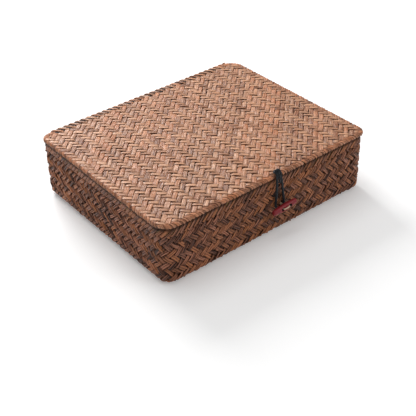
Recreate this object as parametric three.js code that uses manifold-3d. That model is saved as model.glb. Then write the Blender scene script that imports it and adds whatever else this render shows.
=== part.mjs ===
// A plaited seagrass keepsake box. Its lid folds on a plaited strip along the back, and a cord loop on the
// lid's front edge hooks over a wooden toggle on the front wall.
// Millimetres. The box stands on z = 0, with its front towards -Y and the origin in the middle of its
// underside.
import * as THREE from 'three';
import { mergeVertices } from 'three/addons/utils/BufferGeometryUtils.js';
import Module from 'manifold-3d';

const wasm = await Module();
wasm.setup();

// Overall sizes
const boxWidth = 270;
const boxDepth = 222;
const boxHeight = 73;
const wideCornerRadius = 18;
const tightCornerRadius = 11;
const lidOverhang = 2.5;
const gap = 0.3;

// Plaited mats: the strands lie two deep, so every mat, hem and strip has this thickness
const matThickness = 1.6;
const baseEdgeRadius = 7;

// Rim of the base: a bamboo hoop between the two baskets, under a hem of folded strands
const hoopThickness = 1.8;
const hoopHeight = 10;
const rimHemHeight = 7;
const rimRounding = 2.2;
const lathChamfer = 0.4;

// Lid: a cane frame between two mats, inside a rolled hem
const caneThickness = 1.8;
const caneWidth = 1.8;
const lidHemWidth = 9;
const underMatBorder = 3;

// Hinge strip: slanted wraps from the lid's top, over the back edge and down the back wall
const hingeWallLeaf = 15;
const hingeSideMargin = 20;
const wrapPitch = 7.4;
const wrapGrooveDepth = 0.8;
const wrapSlant = 1;
const wrapProfileShares = [1, 0.25, 0, 0.25];

// Closure: toggle, its thread, and the cord loop with its knots
const closureX = 12.8;
const toggleHeight = 34;
const toggleTilt = THREE.MathUtils.degToRad(5);
const toggleLength = 31.2;
const toggleOffset = -1.2;
const toggleMiddleRadius = 4.2;
const toggleEndRadius = 3.2;
const toggleEndRounding = 1.4;
const toggleDepthShare = 0.76;
const scoopRadius = 50;
const scoopDepth = 0.9;
const holeSpacing = 9.2;
const holeRadius = 1.6;
const threadDiameter = 1.4;
const shankRadius = 1.2;
const shankKnotRadius = 2.8;
const cordDiameter = 2.4;
const knotHalfWidth = 3.7;
const knotRadius = 3.1;
const knotOffset = -7.2;
const tailRadius = 1.2;
const knotFlatShare = 0.8;
const bendShare = 0.4;

// How finely curves are cut into facets
const cornerSteps = 7;
const edgeSteps = 4;
const roundSides = 20;
const threadSides = 8;
const knotSides = 12;
const scoopSides = 96;
const threadSteps = 40;
const loopSteps = 60;
const overrun = 4;

// Sizes that follow from the ones above
const wallBand = 2 * matThickness + hoopThickness + 2 * gap;
const lidThickness = 2 * matThickness + caneThickness + 2 * gap;
const lidBottom = boxHeight - lidThickness;
const rimTop = lidBottom - gap;
const lidEdgeRadius = lidThickness / 2;
const stripBack = boxDepth / 2;
const panelBack = stripBack - matThickness - gap;
const lidOutline = {
  left: -boxWidth / 2,
  right: boxWidth / 2,
  front: -boxDepth / 2,
  back: panelBack,
  wideRadius: wideCornerRadius,
  tightRadius: tightCornerRadius,
};
const baseOutline = {
  left: lidOutline.left + lidOverhang,
  right: lidOutline.right - lidOverhang,
  front: lidOutline.front + lidOverhang,
  back: panelBack,
  wideRadius: wideCornerRadius - lidOverhang,
  tightRadius: tightCornerRadius - lidOverhang,
};
const hingeHalf = boxWidth / 2 - hingeSideMargin;
const hingeLidLeaf = lidHemWidth + matThickness + gap;

// One ring of points round a rounded rectangle, moved in from its outline by inset, at height z. The back
// left and front right corners are bent tighter than the other two
function ringPoints(outline, inset, z) {
  const wide = Math.max(outline.wideRadius - inset, outline.wideRadius / roundSides);
  const tight = Math.max(outline.tightRadius - inset, outline.tightRadius / roundSides);
  const corners = [
    [outline.right - inset - wide, outline.back - inset - wide, wide],
    [outline.left + inset + tight, outline.back - inset - tight, tight],
    [outline.left + inset + wide, outline.front + inset + wide, wide],
    [outline.right - inset - tight, outline.front + inset + tight, tight],
  ];
  const points = [];
  corners.forEach(([x, y, radius], corner) => {
    for (let step = 0; step <= cornerSteps; step += 1) {
      const angle = (corner + step / cornerSteps) * Math.PI / 2;
      points.push([x + radius * Math.cos(angle), y + radius * Math.sin(angle), z]);
    }
  });
  return points;
}

// A geometry from rows of points joined row to row, with faces turned outwards
function solidFromRows(rows, rowsClose, extraTriangles = [], extraPoints = []) {
  const across = rows[0].length;
  const points = rows.flat().concat(extraPoints);
  const triangles = [...extraTriangles];
  const rowCount = rowsClose ? rows.length : rows.length - 1;
  for (let row = 0; row < rowCount; row += 1) {
    const next = (row + 1) % rows.length;
    for (let i = 0; i < across; i += 1) {
      const j = (i + 1) % across;
      triangles.push([row * across + i, row * across + j, next * across + j]);
      triangles.push([row * across + i, next * across + j, next * across + i]);
    }
  }
  let volume = 0;
  for (const [a, b, c] of triangles) {
    const [p, q, r] = [a, b, c].map((k) => new THREE.Vector3(...points[k]));
    volume += p.dot(q.cross(r));
  }
  const turned = volume < 0 ? triangles.map(([a, b, c]) => [a, c, b]) : triangles;
  const geometry = new THREE.BufferGeometry();
  geometry.setAttribute('position', new THREE.Float32BufferAttribute(points.flat(), 3));
  geometry.setIndex(turned.flat());
  return geometry;
}

// A hoop: a closed profile of [inset, height] carried all the way round an outline
function hoopSolid(outline, profile) {
  const rows = profile.map(([inset, z]) => ringPoints(outline, inset, z));
  return solidFromRows(rows, true);
}

// A tray: an open profile of [inset, height] carried round an outline, its two ends closed by flat panels
function traySolid(outline, profile) {
  const rows = profile.map(([inset, z]) => ringPoints(outline, inset, z));
  const across = rows[0].length;
  const x = (outline.left + outline.right) / 2;
  const y = (outline.front + outline.back) / 2;
  const middles = [[x, y, profile[0][1]], [x, y, profile[profile.length - 1][1]]];
  const first = rows.length * across;
  const lastRow = (rows.length - 1) * across;
  const caps = [];
  for (let i = 0; i < across; i += 1) {
    const j = (i + 1) % across;
    caps.push([first, j, i]);
    caps.push([first + 1, lastRow + i, lastRow + j]);
  }
  return solidFromRows(rows, false, caps, middles);
}

// Points of [inset, height] on a quarter circle between two angles, for edges that are rounded
function quarter(centreInset, centreZ, radius, fromAngle, toAngle) {
  const points = [];
  for (let step = 0; step <= edgeSteps; step += 1) {
    const angle = fromAngle + (toAngle - fromAngle) * step / edgeSteps;
    points.push([centreInset + radius * Math.cos(angle), centreZ + radius * Math.sin(angle)]);
  }
  return points;
}

// The closed outline of a lath's section, with its edges taken off
function lathProfile(insetFrom, insetTo, zFrom, zTo) {
  const c = lathChamfer;
  return [
    [insetFrom + c, zFrom], [insetTo - c, zFrom], [insetTo, zFrom + c], [insetTo, zTo - c],
    [insetTo - c, zTo], [insetFrom + c, zTo], [insetFrom, zTo - c], [insetFrom, zFrom + c],
  ];
}

// Cutting and joining
function toManifold(geometry) {
  const bare = geometry.clone();
  bare.deleteAttribute('normal');
  bare.deleteAttribute('uv');
  const merged = mergeVertices(bare);
  return new wasm.Manifold(new wasm.Mesh({
    numProp: 3,
    vertProperties: new Float32Array(merged.attributes.position.array),
    triVerts: new Uint32Array(merged.index.array),
  }));
}

function toGeometry(manifold) {
  const mesh = manifold.getMesh();
  const geometry = new THREE.BufferGeometry();
  geometry.setAttribute('position', new THREE.Float32BufferAttribute(mesh.vertProperties, 3));
  geometry.setIndex(Array.from(mesh.triVerts));
  return geometry;
}

function boxBetween(low, high) {
  const size = high.map((value, axis) => value - low[axis]);
  const geometry = new THREE.BoxGeometry(...size);
  return geometry.translate(...low.map((value, axis) => value + size[axis] / 2));
}

// A round rod along Y or Z, centred on a point
function rodAlong(axis, radius, length, centre) {
  const geometry = new THREE.CylinderGeometry(radius, radius, length, roundSides);
  if (axis === 'z') geometry.rotateX(Math.PI / 2);
  return geometry.translate(...centre);
}

// A round strand of cord or thread along a smooth curve through points
function strandAlong(points, radius, steps) {
  const section = new THREE.Shape();
  for (let side = 0; side < threadSides; side += 1) {
    const angle = side / threadSides * Math.PI * 2;
    const [x, y] = [radius * Math.cos(angle), radius * Math.sin(angle)];
    if (side === 0) section.moveTo(x, y);
    else section.lineTo(x, y);
  }
  section.closePath();
  const path = new THREE.CatmullRomCurve3(points.map((p) => new THREE.Vector3(...p)), false, 'centripetal');
  return new THREE.ExtrudeGeometry(section, { steps, bevelEnabled: false, extrudePath: path });
}

// Outer basket: floor and walls in one plaited mat, turned up over a rounded bottom edge
function outerBasket() {
  const wallTop = rimTop - rimHemHeight - gap;
  const inner = baseEdgeRadius - matThickness;
  const profile = [
    ...quarter(baseEdgeRadius, baseEdgeRadius, baseEdgeRadius, Math.PI * 1.5, Math.PI),
    [0, wallTop],
    [matThickness, wallTop],
    ...quarter(baseEdgeRadius, baseEdgeRadius, inner, Math.PI, Math.PI * 1.5),
  ];
  return toManifold(traySolid(baseOutline, profile)).subtract(shankHole());
}

// Lining basket: the inner mat, which steps inwards near the mouth to make room for the hoop
function liningBasket() {
  const wallTop = rimTop - rimHemHeight - gap;
  const low = matThickness + gap;
  const high = low + hoopThickness + gap;
  const hoopBottom = rimTop - matThickness - gap - hoopHeight;
  const stepTop = hoopBottom - gap;
  const stepBottom = stepTop - (high - low);
  const edge = baseEdgeRadius;
  const profile = [
    ...quarter(edge, edge, edge - low, Math.PI * 1.5, Math.PI),
    [low, stepBottom],
    [high, stepTop],
    [high, wallTop],
    [high + matThickness, wallTop],
    [high + matThickness, stepTop],
    [low + matThickness, stepBottom],
    ...quarter(edge, edge, edge - low - matThickness, Math.PI, Math.PI * 1.5),
  ];
  return toManifold(traySolid(baseOutline, profile)).subtract(shankHole());
}

// Rim hoop: a bamboo lath bent round the mouth between the two baskets
function rimHoop() {
  const inset = matThickness + gap;
  const top = rimTop - matThickness - gap;
  return hoopSolid(baseOutline, lathProfile(inset, inset + hoopThickness, top - hoopHeight, top));
}

// Rim hem: the strand ends folded over the hoop, from the outer basket to the lining
function rimHem() {
  const bottom = rimTop - rimHemHeight;
  const roof = rimTop - matThickness;
  const profile = [
    [0, bottom],
    ...quarter(rimRounding, rimTop - rimRounding, rimRounding, Math.PI, Math.PI / 2),
    ...quarter(wallBand - rimRounding, rimTop - rimRounding, rimRounding, Math.PI / 2, 0),
    [wallBand, bottom],
    [wallBand - matThickness, bottom],
    [wallBand - matThickness, roof],
    [matThickness, roof],
    [matThickness, bottom],
  ];
  return hoopSolid(baseOutline, profile);
}

// The lid's pieces are made with the lid's underside at z = 0

// Lid frame: a flat cane bent to the lid's outline, which keeps it stiff
function lidFrame() {
  const inset = matThickness + gap;
  const low = matThickness + gap;
  return hoopSolid(lidOutline, lathProfile(inset, inset + caneWidth, low, low + caneThickness));
}

// Lid hem: the top mat's strands rolled over the cane and tucked under, on the front and both sides
function lidHem() {
  const r = lidEdgeRadius;
  const profile = [
    [lidHemWidth, 0],
    ...quarter(r, r, r, Math.PI * 1.5, Math.PI),
    ...quarter(r, r, r, Math.PI, Math.PI / 2).slice(1),
    [lidHemWidth, lidThickness],
    [lidHemWidth, lidThickness - matThickness],
    [matThickness, lidThickness - matThickness],
    [matThickness, matThickness],
    [lidHemWidth, matThickness],
  ];
  const clear = hingeHalf + gap;
  const hingeSpan = boxBetween(
    [-clear, panelBack - lidHemWidth - overrun, -overrun],
    [clear, panelBack + overrun, lidThickness + overrun],
  );
  return toManifold(hoopSolid(lidOutline, profile)).subtract(toManifold(hingeSpan)).subtract(tailHole());
}

// The outline that both mats of the lid fill, inside the hem
function insideHem(back) {
  const inset = lidHemWidth + gap;
  return {
    left: lidOutline.left + inset,
    right: lidOutline.right - inset,
    front: lidOutline.front + inset,
    back,
    wideRadius: lidOutline.wideRadius - inset,
    tightRadius: lidOutline.tightRadius - inset,
  };
}

// Lid top mat: the flat plaited panel that shows
function lidTopMat() {
  const outline = insideHem(stripBack - hingeLidLeaf - gap);
  const low = lidThickness - matThickness;
  return traySolid(outline, [[0, low], [0, lidThickness]]);
}

// Lid under mat: the lining of the lid. It lies level with the hem's lower fold, rises to meet the top mat
// inside the frame, and turns up behind the cane, as far as the hinge strip's bend
function lidUnderMat() {
  const outline = insideHem(panelBack - lidHemWidth - gap);
  const rise = lidThickness - 2 * matThickness - gap;
  const profile = [
    [underMatBorder + rise, rise],
    [underMatBorder, 0],
    [0, 0],
    [0, matThickness],
    [underMatBorder, matThickness],
    [underMatBorder + rise, rise + matThickness],
  ];
  const flap = boxBetween([-hingeHalf, outline.back - gap, 0], [hingeHalf, panelBack, matThickness]);
  const upturn = boxBetween(
    [-hingeHalf, panelBack - matThickness, 0],
    [hingeHalf, panelBack, lidEdgeRadius],
  );
  return toManifold(traySolid(outline, profile))
    .add(toManifold(flap))
    .add(toManifold(upturn));
}

// A bar whose sections are the rows. Each section goes along one side and back along the other, in pairs of
// points across from each other, so that its two ends close as a ladder of quads
function barSolid(rows) {
  const across = rows[0].length;
  const lastRow = (rows.length - 1) * across;
  const caps = [];
  for (let i = 0; i < across / 2 - 1; i += 1) {
    const [a, b, c, d] = [i, i + 1, across - 2 - i, across - 1 - i];
    caps.push([d, c, b], [d, b, a]);
    caps.push([lastRow + a, lastRow + b, lastRow + c], [lastRow + a, lastRow + c, lastRow + d]);
  }
  return solidFromRows(rows, false, caps);
}

// Hinge strip: strands wrapped over the lid's back edge at a slant, side by side, and down the back wall.
// Each wrap is a raised band with a groove on each side, and the rows of points lean with the wraps
function hingeStrip() {
  const bottom = rimTop - hingeWallLeaf;
  const stripAt = (depth) => {
    const radius = lidEdgeRadius - depth;
    const bend = quarter(stripBack - lidEdgeRadius, boxHeight - lidEdgeRadius, radius, Math.PI / 2, 0);
    return [
      [stripBack - hingeLidLeaf, boxHeight - depth],
      ...bend,
      [stripBack - depth, bottom],
    ];
  };
  const outside = stripAt(0);
  const travelled = [0];
  for (let i = 1; i < outside.length; i += 1) {
    const step = Math.hypot(outside[i][0] - outside[i - 1][0], outside[i][1] - outside[i - 1][1]);
    travelled.push(travelled[i - 1] + step);
  }
  const length = travelled[travelled.length - 1];
  const lean = [...travelled, ...travelled.toReversed()];
  const inside = stripAt(matThickness).toReversed();
  const wraps = Math.ceil((2 * hingeHalf + length * wrapSlant) / wrapPitch) + 1;
  const columns = wraps * wrapProfileShares.length;
  const rows = [];
  for (let k = 0; k <= columns; k += 1) {
    const x = -hingeHalf + (k / wrapProfileShares.length - 1) * wrapPitch;
    const sunk = wrapProfileShares[k % wrapProfileShares.length] * wrapGrooveDepth;
    const section = [...stripAt(sunk), ...inside];
    rows.push(section.map(([y, z], i) => [x - lean[i] * wrapSlant, y, z]));
  }
  return toManifold(barSolid(rows)).intersect(toManifold(boxBetween(
    [-hingeHalf, stripBack - hingeLidLeaf - overrun, bottom - overrun],
    [hingeHalf, stripBack + overrun, boxHeight + overrun],
  )));
}

// The closure's places: the toggle stands off the front wall by the loop, the thread's back run and the gaps
const wallFront = baseOutline.front;
const toggleHalfDepth = toggleMiddleRadius * toggleDepthShare;
const loopSpace = cordDiameter + 2 * gap;
const toggleBack = wallFront - loopSpace - threadDiameter - 2 * gap;
const toggleY = toggleBack - toggleHalfDepth;
const threadBackY = toggleBack + gap + threadDiameter / 2;
const shankFront = threadBackY + threadDiameter / 2 + gap;
const wallInside = wallFront + 2 * matThickness + gap;

// Hole through both baskets for the toggle's shank
function shankHole() {
  const length = wallInside - wallFront + 2 * overrun;
  const middle = [closureX, (wallFront + wallInside) / 2, toggleHeight];
  return toManifold(rodAlong('y', shankRadius + gap, length, middle));
}

// Toggle shank: the thread's neck, wound round itself and knotted inside the box
function toggleShank() {
  const knotY = wallInside + gap + shankKnotRadius * knotFlatShare;
  const neck = rodAlong('y', shankRadius, knotY - shankFront, [0, (knotY + shankFront) / 2, 0]);
  const knot = new THREE.SphereGeometry(shankKnotRadius, knotSides, knotSides / 2);
  knot.scale(1, knotFlatShare, 1);
  knot.translate(0, knotY, 0);
  return toManifold(neck).add(toManifold(knot));
}

// Toggle: a lacquered wooden bar, thicker at its middle, scooped out on the front and drilled with two holes
// a little to one side
function toggleBar() {
  const half = toggleLength / 2;
  const r = toggleEndRounding;
  const profile = [new THREE.Vector2(0, -half)];
  const barrelSteps = roundSides / 2;
  for (let step = 0; step <= edgeSteps; step += 1) {
    const angle = Math.PI / 2 * step / edgeSteps;
    const across = toggleEndRadius - r + r * Math.sin(angle);
    profile.push(new THREE.Vector2(across, -half + r - r * Math.cos(angle)));
  }
  for (let step = 1; step < barrelSteps; step += 1) {
    const along = -1 + 2 * step / barrelSteps;
    const swell = (toggleMiddleRadius - toggleEndRadius) * (1 - along * along);
    profile.push(new THREE.Vector2(toggleEndRadius + swell, along * (half - r)));
  }
  for (let step = edgeSteps; step >= 0; step -= 1) {
    const angle = Math.PI / 2 * step / edgeSteps;
    const across = toggleEndRadius - r + r * Math.sin(angle);
    profile.push(new THREE.Vector2(across, half - r + r * Math.cos(angle)));
  }
  profile.push(new THREE.Vector2(0, half));
  const bar = new THREE.LatheGeometry(profile, roundSides);
  bar.rotateZ(Math.PI / 2);
  bar.scale(1, toggleDepthShare, 1);
  bar.translate(toggleOffset, 0, 0);
  let solid = toManifold(bar);
  const scoop = new THREE.CylinderGeometry(scoopRadius, scoopRadius, 2 * toggleLength, scoopSides);
  scoop.rotateX(Math.PI / 2);
  scoop.translate(toggleOffset, -toggleHalfDepth + scoopDepth - scoopRadius, 0);
  solid = solid.subtract(toManifold(scoop));
  for (const side of [-1, 1]) {
    const hole = rodAlong('y', holeRadius, 2 * toggleMiddleRadius + overrun, [side * holeSpacing / 2, 0, 0]);
    solid = solid.subtract(toManifold(hole));
  }
  return solid;
}

// Toggle thread: one raffia strand that leaves the shank, goes through both holes and crosses the scoop
function toggleThread() {
  const r = threadDiameter / 2;
  const back = threadBackY - toggleY;
  const front = -toggleHalfDepth + scoopDepth - gap - r;
  const hole = holeSpacing / 2;
  const halfRoute = [
    [gap / 2 + r, back, 0],
    [hole / 2, back, 0],
    [hole - r, back - r * bendShare, 0],
    [hole, back - threadDiameter, 0],
    [hole, (back + front) / 2, 0],
    [hole, front + threadDiameter, 0],
    [hole - r, front + r * bendShare, 0],
    [hole / 2, front, 0],
  ];
  const mirrored = halfRoute.map(([x, y, z]) => [-x, y, z]).toReversed();
  return strandAlong([...halfRoute, [0, front, 0], ...mirrored], r, threadSteps);
}

// The cord's tail goes into the hem behind the cane. The knot lies in front of it, on the hem's rounded edge
const knotX = closureX + knotOffset;
const tailY = lidOutline.front + matThickness + 2 * gap + caneWidth + tailRadius;
const knotY = tailY - tailRadius - gap - knotRadius;
const knotForward = lidOutline.front + lidEdgeRadius - knotY;
const knotZ = lidEdgeRadius + Math.sqrt((lidEdgeRadius + gap + knotRadius) ** 2 - knotForward ** 2);

// Hole in the hem's upper fold for the tail of the closure cord
function tailHole() {
  const depth = matThickness + 2 * gap;
  const centre = [knotX, tailY, lidThickness + gap - depth / 2];
  return toManifold(rodAlong('z', tailRadius + gap, depth, centre));
}

// Loop knot: the hard round knot in which the two legs of the loop end
function loopKnot() {
  const knot = new THREE.SphereGeometry(1, knotSides, knotSides / 2);
  knot.rotateX(Math.PI / 2);
  return knot.scale(knotHalfWidth, knotRadius, knotRadius);
}

// Loop tail: the cord's end, from behind the knot down through the hem's upper fold
function loopTail() {
  const bottom = matThickness + gap;
  return rodAlong('z', tailRadius, knotZ - bottom, [knotX, tailY, (knotZ + bottom) / 2]);
}

// Closure loop: a limp waxed cord. It leaves the knot, hangs over the lid's front edge, passes behind the
// toggle and under its shank and comes back up. Each point is measured from the lid's front top edge
const loopLeft = [
  [-8.48, -1.53, 0.5], [-8.72, -2, -0.62], [-8.86, -2.27, -1.9], [-8.87, -2.35, -3.4],
  [-8.75, -2.2, -5.5], [-8.65, -2, -7.5], [-8.2, -1.4, -13.5], [-7.7, -0.6, -21], [-7.3, 0.1, -28.5],
  [-7.15, 0.8, -33.5], [-7.15, 1, -37.4], [-6.39, 1, -40.22], [-4.32, 1, -42.29],
];
const loopBottom = [-1.5, 1, -43.05];
const loopRight = [
  [1.33, 1, -42.29], [3.39, 1, -40.22], [4.15, 1, -37.4], [3.75, 0.8, -34.2], [2.9, 0.4, -31.2],
  [1.2, -0.5, -25.3], [-0.5, -1.3, -17.1], [-1.9, -1.8, -10.5], [-2.7, -2.1, -7], [-3.2, -2.2, -5],
  [-3.65, -2.25, -3.2], [-4.15, -2.1, -1.8], [-4.75, -1.75, -0.55], [-5.4, -1.2, 0.49],
];

function closureLoop() {
  const points = [...loopLeft, loopBottom, ...loopRight];
  const route = points.map(([x, y, z]) => [closureX + x, lidOutline.front + y, lidThickness + z]);
  return strandAlong(route, cordDiameter / 2, loopSteps);
}

// The finishes
function finish(color, roughness) {
  return { color, roughness, metalness: 0 };
}
const lidGrass = finish(0xa9774f, 0.6);
const wallGrass = finish(0x7d5236, 0.65);
const hemGrass = finish(0x95653f, 0.6);
const bareCane = finish(0xb48a57, 0.7);
const lacqueredWood = finish(0x7a1a20, 0.3);
const raffia = finish(0xb98a5c, 0.7);
const waxedCord = finish(0x15181a, 0.55);

// One named piece in a group, at a place in that group
function addPiece(group, name, solid, look, place = [0, 0, 0]) {
  const geometry = solid.isBufferGeometry ? solid : toGeometry(solid);
  geometry.computeVertexNormals();
  const mesh = new THREE.Mesh(geometry, new THREE.MeshStandardMaterial(look));
  mesh.name = name;
  mesh.position.set(...place);
  group.add(mesh);
}

const base = new THREE.Group();
addPiece(base, 'outer_basket', outerBasket(), wallGrass);
addPiece(base, 'lining_basket', liningBasket(), wallGrass);
addPiece(base, 'rim_hoop', rimHoop(), bareCane);
addPiece(base, 'rim_hem', rimHem(), hemGrass);
addPiece(base, 'hinge_strip', hingeStrip(), hemGrass);
addPiece(base, 'toggle_shank', toggleShank(), raffia, [closureX, 0, toggleHeight]);

const toggle = new THREE.Group();
toggle.position.set(closureX, toggleY, toggleHeight);
toggle.rotation.y = -toggleTilt;
addPiece(toggle, 'toggle_bar', toggleBar(), lacqueredWood);
addPiece(toggle, 'toggle_thread', toggleThread(), raffia);

const lid = new THREE.Group();
lid.position.set(0, 0, lidBottom);
addPiece(lid, 'lid_frame', lidFrame(), bareCane);
addPiece(lid, 'lid_hem', lidHem(), hemGrass);
addPiece(lid, 'lid_top_mat', lidTopMat(), lidGrass);
addPiece(lid, 'lid_under_mat', lidUnderMat(), wallGrass);
addPiece(lid, 'loop_knot', loopKnot(), waxedCord, [knotX, knotY, knotZ]);
addPiece(lid, 'loop_tail', loopTail(), waxedCord);
addPiece(lid, 'closure_loop', closureLoop(), waxedCord);

const box = new THREE.Group();
box.add(base, toggle, lid);

export default box;
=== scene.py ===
import math

import bpy
import numpy as np
from mathutils import Matrix


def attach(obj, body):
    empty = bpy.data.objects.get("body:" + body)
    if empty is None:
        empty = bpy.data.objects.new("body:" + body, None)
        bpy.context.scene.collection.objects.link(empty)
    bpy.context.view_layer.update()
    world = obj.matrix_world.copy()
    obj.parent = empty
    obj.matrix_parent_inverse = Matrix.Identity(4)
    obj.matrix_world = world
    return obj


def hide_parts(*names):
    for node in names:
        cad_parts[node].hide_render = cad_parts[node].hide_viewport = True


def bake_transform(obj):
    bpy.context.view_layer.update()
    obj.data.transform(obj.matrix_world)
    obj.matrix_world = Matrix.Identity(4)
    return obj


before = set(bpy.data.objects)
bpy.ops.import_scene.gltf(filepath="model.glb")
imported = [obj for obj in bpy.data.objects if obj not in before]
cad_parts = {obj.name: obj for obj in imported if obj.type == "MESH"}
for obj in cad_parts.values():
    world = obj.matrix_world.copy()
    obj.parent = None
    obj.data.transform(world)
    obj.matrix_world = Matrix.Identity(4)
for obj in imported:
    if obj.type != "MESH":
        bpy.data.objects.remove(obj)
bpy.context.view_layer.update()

# Camera: it looks down on the box's front left corner from about a metre away, as the photograph does. The
# place, the three directions and the lens were solved from the lid's edges.
camera_right = (0.77842437, -0.62728333, -0.02389704)
camera_up = (0.3827494, 0.44410928, 0.81010485)
camera_back = (-0.4975524, -0.63975196, 0.5857978)
camera_place = (-0.504145, -0.654195, 0.570949)


def placed(name, data):
    """A new object in the scene that holds the data, at the origin."""
    holder = bpy.data.objects.new(name, data)
    bpy.context.scene.collection.objects.link(holder)
    return holder


camera_lens = bpy.data.cameras.new("camera")
camera_lens.sensor_width = 36
camera_lens.lens = 78.497
camera = placed("camera", camera_lens)
camera.matrix_world = Matrix([
    [*axes, place] for *axes, place in zip(camera_right, camera_up, camera_back, camera_place)
] + [[0, 0, 0, 1]])
bpy.context.scene.camera = camera

# Outer basket: floor and walls are one mat of split seagrass, plaited two over and two under on the slant
# and turned up over a rounded bottom edge. The strands are darker than the lid's and lie two deep.
mm = 0.001
lowest_point = 0.03
strand_thickness = 1.0
weave_lift = 0.55
mat_middle = 0.8
wall_strands = 125
rim_top = 67.1
wall_top = 59.8
base_half_width = 132.5
base_front = -108.5
base_back = 109.1
base_wide_corner = 15.5
base_tight_corner = 8.5
base_edge = 7.0
crowned_across = np.array([-0.5, -0.43, -0.29, -0.15, 0.0, 0.15, 0.29, 0.43, 0.5, 0.3, -0.3])
crowned_rise = np.array([
    [-0.2, 0.26, 0.1, 0.5, 0.28, 0.5, 0.1, 0.26, -0.2, -0.42, -0.42],
    [-0.2, 0.12, 0.36, 0.2, 0.5, 0.2, 0.36, 0.12, -0.2, -0.42, -0.42],
    [-0.2, 0.22, 0.44, 0.5, 0.3, 0.46, 0.4, 0.1, -0.2, -0.42, -0.42],
    [-0.2, 0.1, 0.3, 0.46, 0.5, 0.46, 0.3, 0.1, -0.2, -0.42, -0.42],
])
split_rise = np.array([
    [-0.2, 0.3, 0.5, 0.42, -0.15, 0.42, 0.5, 0.3, -0.2, -0.42, -0.42],
    [-0.2, 0.2, 0.42, 0.5, 0.05, 0.3, 0.46, 0.2, -0.2, -0.42, -0.42],
    [-0.2, 0.34, 0.46, 0.1, -0.1, 0.45, 0.5, 0.24, -0.2, -0.42, -0.42],
    [-0.2, 0.22, 0.44, 0.5, 0.3, 0.46, 0.4, 0.1, -0.2, -0.42, -0.42],
])
plain_across = np.array([-0.5, -0.3, 0.3, 0.5, 0.3, -0.3])
plain_rise = np.array([[0.0, 0.5, 0.5, 0.0, -0.4, -0.4]])
crowned_section = (crowned_across, crowned_rise)
split_section = (crowned_across, split_rise)
plain_section = (plain_across, plain_rise)


def outline_table(half_x, front, back, wide, tight):
    """Rows of distance, x, y and outward direction round a rectangle with round corners: each corner is a
    quarter circle, and straight sides lie between two rows. It starts at the front right corner, which is
    tight as the back left one is, and goes round by the back."""
    turn = np.linspace(0, np.pi / 2, 25)
    angle = np.concatenate([turn + (quarter - 1) * np.pi / 2 for quarter in range(4)])
    corner = np.repeat([tight, wide, tight, wide], len(turn))
    x = np.repeat([1, 1, -1, -1], len(turn)) * (half_x - corner) + corner * np.cos(angle)
    y = np.repeat([front, back, back, front], len(turn)) + np.repeat([1, -1, -1, 1], len(turn)) * corner
    y = y + corner * np.sin(angle)
    rows = np.array([x, y, np.cos(angle), np.sin(angle)])
    rows = np.concatenate([rows, rows[:, :1]], axis=1)
    step = np.hypot(np.diff(rows[0]), np.diff(rows[1]))
    return np.concatenate([[np.concatenate([[0], np.cumsum(step)])], rows])


def profile_table(points):
    """Rows of distance, inset, height and outward direction along an open profile of [inset, height] points.
    The outward direction is the profile's own direction turned by a quarter."""
    inset, height = np.array(points, dtype=float).T
    step = np.hypot(np.diff(inset), np.diff(height))
    travel = np.concatenate([[0], np.cumsum(step)])
    out, rise = np.gradient(height, travel), np.gradient(inset, travel)
    size = np.hypot(out, rise)
    return np.array([travel, inset, height, out / size, rise / size])


def arc_points(inset, height, radius, start, end, steps=10):
    """Points of [inset, height] on a circle's arc between two angles in degrees."""
    angle = np.radians(np.linspace(start, end, steps))
    return np.stack([inset + radius * np.cos(angle), height + radius * np.sin(angle)], axis=1)


def on_band(outline, profile, around, up, lift, face=1):
    """Points and directions at the distances around and up, on the surface that carries the profile round
    the outline, lifted off it along its outward direction. Face -1 turns the surface's outside in."""
    inset, height, out, rise = (np.interp(up, profile[0], row) for row in profile[1:])
    x, y, east, north = (np.interp(np.mod(around, outline[0, -1]), outline[0], row) for row in outline[1:])
    direction = face * np.stack([east * out, north * out, rise], axis=-1)
    place = np.stack([x - east * inset, y - north * inset, height], axis=-1)
    return place + direction * lift[..., None], direction


def weave_height(crossing, shorter=0.0):
    """Height of a strand over the middle of its mat, from 1 to -1: a cosine over four crossings less a
    constant. Its hyperbolic tangent counts 0.88 and the wave itself 0.12, so that each float lies level
    over two strands and dives between them."""
    wave = np.cos(np.pi / 2 * crossing) - shorter
    return 0.88 * np.tanh(3.6 * wave) / np.tanh(3.6) + 0.12 * wave


def drawn_to_dives(crossing):
    """The crossing numbers of even steps, drawn closer together round every odd number, where a strand
    dives: each plus 0.55 times the sine of its half turns, over pi."""
    return crossing + 0.55 * np.sin(np.pi * crossing) / np.pi


def mesh_of(name, points, corners, sizes):
    """A mesh from its points in millimetres, every face's corners one after another, and their counts."""
    mesh = bpy.data.meshes.new(name)
    mesh.vertices.add(len(points))
    mesh.vertices.foreach_set("co", (points * mm).astype(np.float32).ravel())
    mesh.loops.add(len(corners))
    mesh.loops.foreach_set("vertex_index", corners.astype(np.int32))
    mesh.polygons.add(len(sizes))
    mesh.polygons.foreach_set("loop_start", (np.cumsum(sizes) - sizes).astype(np.int32))
    mesh.update(calc_edges=True)
    mesh.shade_smooth()
    return mesh


def drift(travel, number, chance):
    """Smooth chance along each strand, about -1 to 1: three sine waves of its travel, of 9, 23 and 61 mm,
    with phases of its own, the shortest wave the lowest."""
    phase = chance.uniform(0, 2 * np.pi, (3, number[-1] + 1))
    return sum(size * np.sin(2 * np.pi * travel / wave + turn[number])
               for wave, size, turn in zip((9, 23, 61), (0.2, 0.65, 0.65), phase))


def write_values(mesh, name, values):
    """One attribute on a mesh's points: numbers from one row of values, vectors from rows of three."""
    kind, field = ("FLOAT_VECTOR", "vector") if np.ndim(values) > 1 else ("FLOAT", "value")
    mesh.attributes.new(name, kind, "POINT").data.foreach_set(field, values.astype(np.float32).ravel())


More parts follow.
